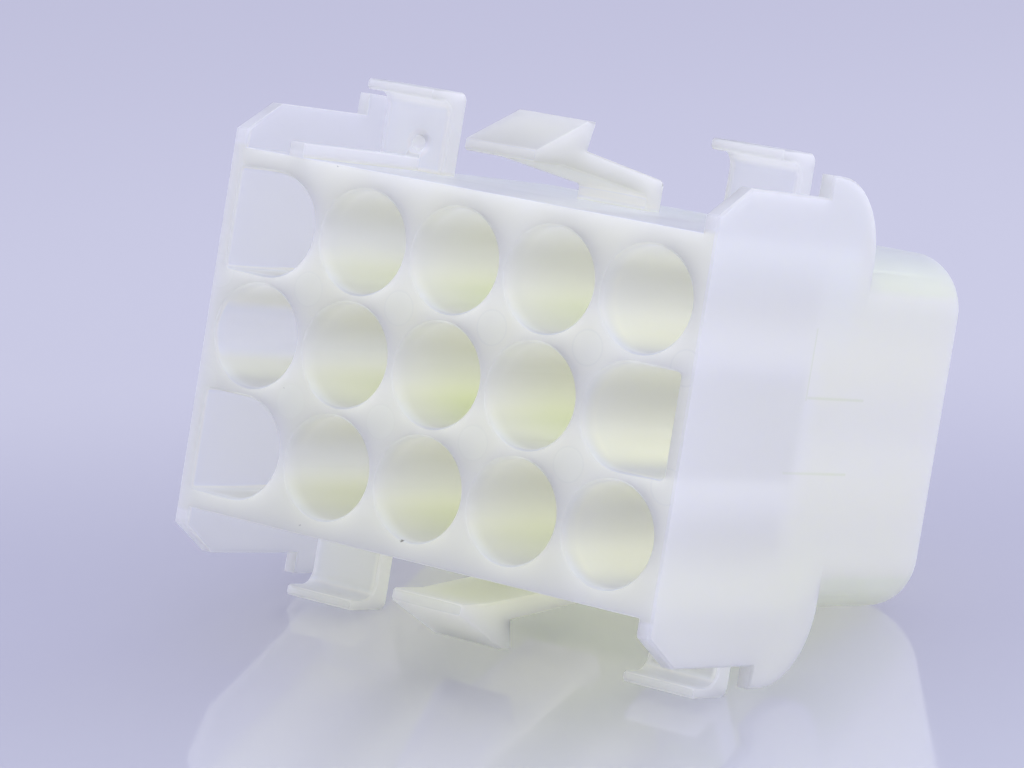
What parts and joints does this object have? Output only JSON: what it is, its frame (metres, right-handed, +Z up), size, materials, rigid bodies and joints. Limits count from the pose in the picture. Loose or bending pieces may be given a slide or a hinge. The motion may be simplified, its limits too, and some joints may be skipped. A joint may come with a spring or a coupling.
{
  "type": "panel mount connector cap housing",
  "caption": "Empty one-piece nylon housing for crimped contacts, with round and keyed wells, panel latches, spring ears and end plates, for snapping into a sheet panel.",
  "frame": {"origin": "on the surface the housing rests on, below the middle of its bounding box", "axes": "+Z up as it rests on its two lower ears and its lower rear edge, tipped back about 18 degrees; +X along the rows of contacts; the mating face looks towards -Y and a little up"},
  "size_m": [0.0328, 0.0326, 0.0301],
  "materials": {
    "natural_nylon": "natural milky nylon, slightly translucent in thin walls, fine satin moulded surface"
  },
  "bodies": {
    "root": {"housing": "natural_nylon"}
  },
  "joints": []
}
